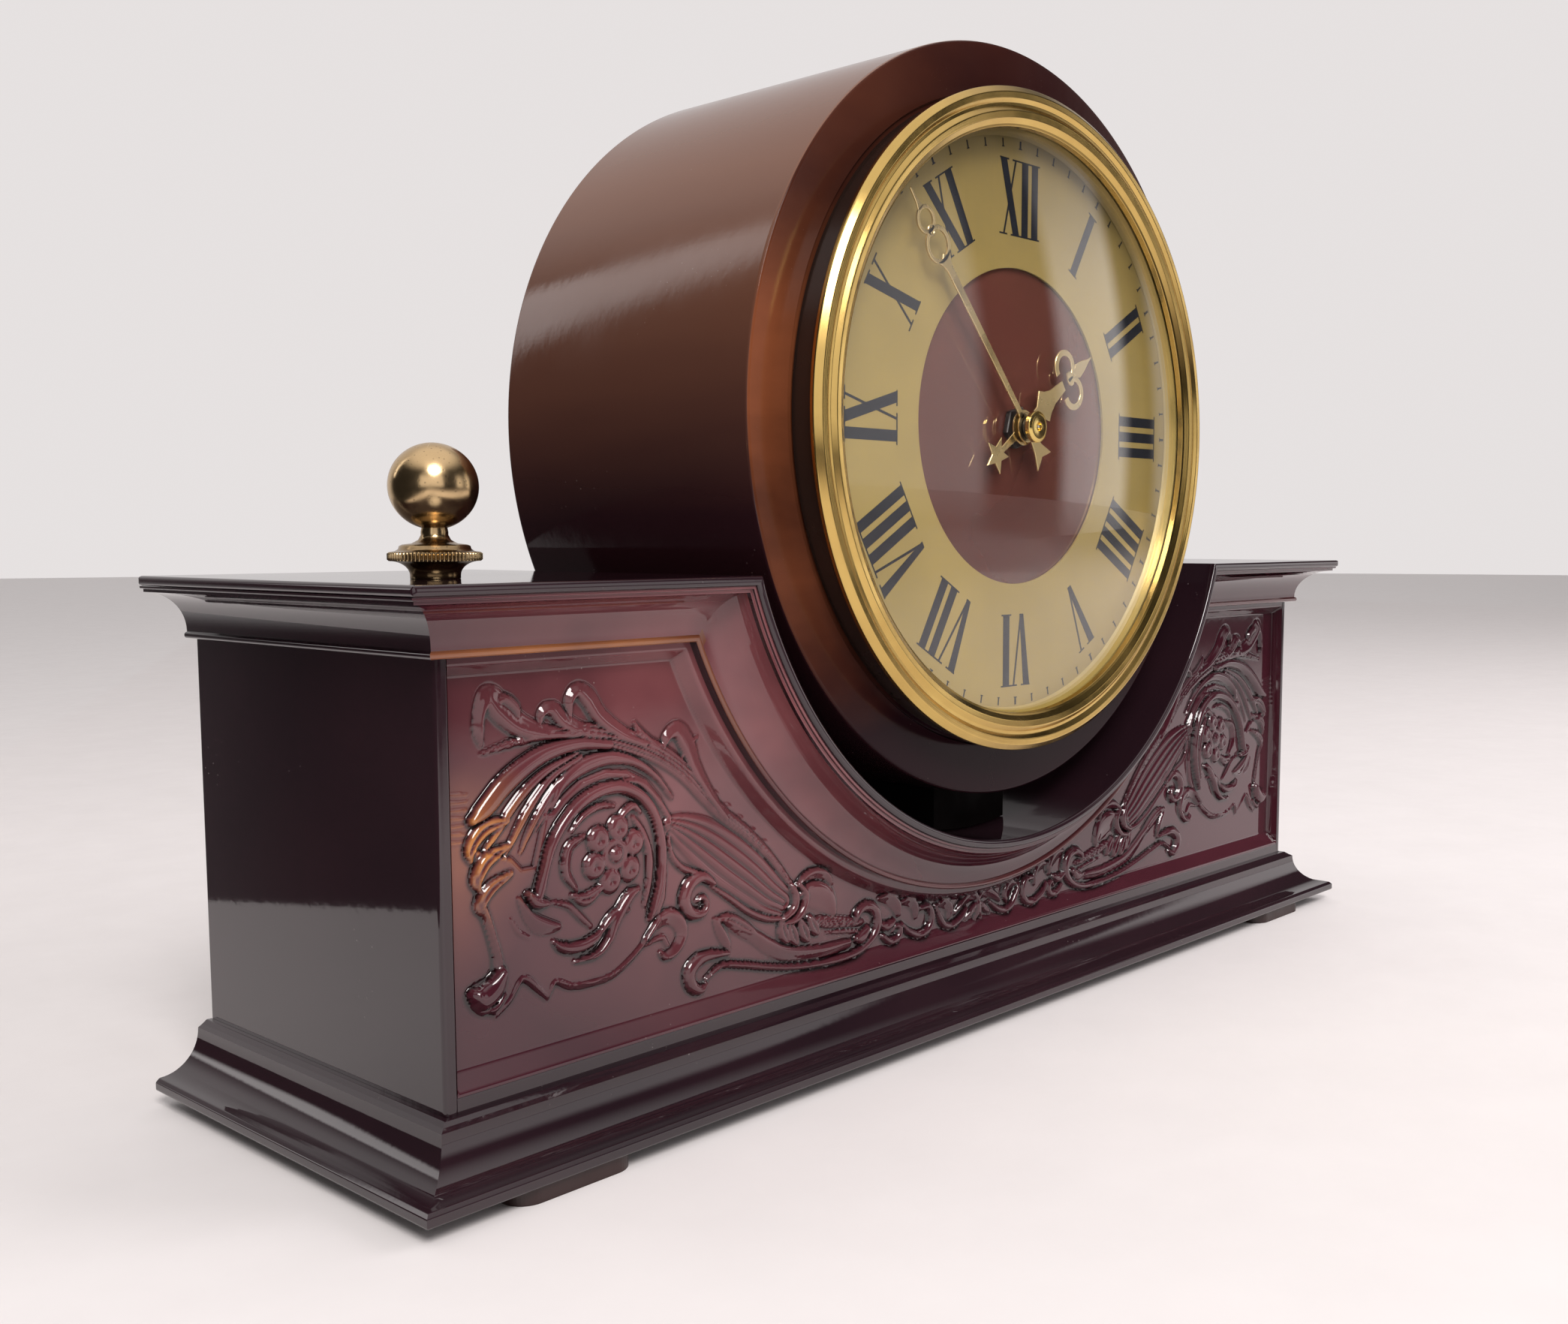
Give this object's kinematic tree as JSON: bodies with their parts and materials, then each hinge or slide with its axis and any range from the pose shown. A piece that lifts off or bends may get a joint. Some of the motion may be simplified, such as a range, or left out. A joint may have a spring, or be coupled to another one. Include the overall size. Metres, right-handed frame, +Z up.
{
  "type": "mantel clock",
  "caption": "Mantel clock: round glazed clock drum lying in the saddle of a low moulded case with cornice, skirt and carved front, battery movement with geared hands and setting knob.",
  "frame": {"origin": "on the surface it stands on, midway across the width and midway front to back", "axes": "+Z up, +X to the right of somebody facing the dial, +Y away from them; the dial faces -Y"},
  "size_m": [0.422, 0.13, 0.287],
  "materials": {
    "case_plastic": "polished moulded dark maroon",
    "drum_plastic": "polished moulded red-brown",
    "collar_plastic": "satin dark brown",
    "dark_plastic": "moulded satin",
    "white_plastic": "moulded acetal",
    "bezel_brass": "polished spun brass",
    "hand_brass": "stamped satin gilt",
    "finial_brass": "aged turned brass",
    "dial_metal": "brushed champagne",
    "disc_plastic": "glossy red-brown",
    "glass": "clear",
    "rubber": "matt",
    "hardboard": "raw hardboard",
    "steel": "zinc plated",
    "copper": "enamelled copper wire",
    "ferrite": "sintered",
    "board_green": "lacquered circuit board",
    "battery_label": "printed sleeve"
  },
  "bodies": {
    "case": {"top_slab": "case_plastic", "cornice": "case_plastic", "base_shell": "case_plastic", "skirt": "case_plastic", "bottom_plate": "hardboard", "rear_post_left": "hardboard", "rear_post_right": "hardboard", "base_back_panel": "hardboard", "base_back_screw_1": "steel", "base_back_screw_2": "steel", "base_back_screw_3": "steel", "base_back_screw_4": "steel", "foot_front_left": "dark_plastic", "foot_front_right": "dark_plastic", "foot_rear_left": "dark_plastic", "foot_rear_right": "dark_plastic", "finial": "finial_brass", "finial_stud": "steel", "finial_nut": "steel", "saddle_block": "case_plastic", "drum_bolt_front": "steel", "drum_bolt_rear": "steel", "drum_nut_front": "steel", "drum_nut_rear": "steel", "drum_shell": "drum_plastic", "drum_rear_cover": "dark_plastic", "rear_cover_screw_1": "steel", "rear_cover_screw_2": "steel", "rear_cover_screw_3": "steel", "bezel_collar": "collar_plastic", "bezel": "bezel_brass", "glass": "glass", "rehaut": "dial_metal", "dial_seat": "dark_plastic", "chapter_ring": "dial_metal", "dial_centre_disc": "disc_plastic", "fixing_nut": "hand_brass", "rubber_washer": "rubber", "threaded_bushing": "hand_brass", "movement_cover": "dark_plastic", "movement_case": "dark_plastic", "rotor": "ferrite", "stator": "steel", "coil_bobbin": "white_plastic", "coil_winding": "copper", "circuit_board": "board_green", "battery_contact_flat": "steel", "battery_contact_spring": "steel"},
    "minute_arbor": {"centre_wheel": "white_plastic", "minute_hand": "hand_brass", "hand_cap": "hand_brass"},
    "hour_pipe": {"hour_wheel": "white_plastic", "hour_hand": "hand_brass"},
    "minute_wheel": {"minute_wheel": "white_plastic"},
    "third_wheel": {"third_wheel": "white_plastic"},
    "second_wheel": {"second_wheel": "white_plastic"},
    "setting_knob": {"setting_knob": "dark_plastic"},
    "battery": {"battery": "battery_label"}
  },
  "joints": [
    {"name": "minute_turn", "type": "hinge", "parent": "case", "child": "minute_arbor", "pos_m": [0, -0.04, 0.178], "axis": [0, 1, 0], "continuous": true},
    {"name": "hour_turn", "type": "hinge", "parent": "case", "child": "hour_pipe", "pos_m": [0, -0.044, 0.178], "axis": [0, 1, 0], "continuous": true},
    {"name": "minute_wheel_turn", "type": "hinge", "parent": "case", "child": "minute_wheel", "pos_m": [0, -0.043, 0.1905], "axis": [0, 1, 0], "continuous": true},
    {"name": "third_wheel_turn", "type": "hinge", "parent": "case", "child": "third_wheel", "pos_m": [-0.01032, -0.04, 0.17077], "axis": [0, 1, 0], "continuous": true},
    {"name": "second_wheel_turn", "type": "hinge", "parent": "case", "child": "second_wheel", "pos_m": [-0.00121, -0.038, 0.16312], "axis": [0, 1, 0], "continuous": true},
    {"name": "setting_turn", "type": "hinge", "parent": "case", "child": "setting_knob", "pos_m": [0.01083, -0.04, 0.19675], "axis": [0, 1, 0], "continuous": true},
    {"name": "battery_out", "type": "slide", "parent": "case", "child": "battery", "axis": [0, 1, 0], "range_m": [0, 0.06]}
  ],
  "couplings": [
    {"joint": "hour_turn", "follows": "minute_turn", "ratio": 0.083333},
    {"joint": "minute_wheel_turn", "follows": "minute_turn", "ratio": -0.33333},
    {"joint": "third_wheel_turn", "follows": "minute_turn", "ratio": -8},
    {"joint": "second_wheel_turn", "follows": "minute_turn", "ratio": 60},
    {"joint": "setting_turn", "follows": "minute_turn", "ratio": 1}
  ]
}
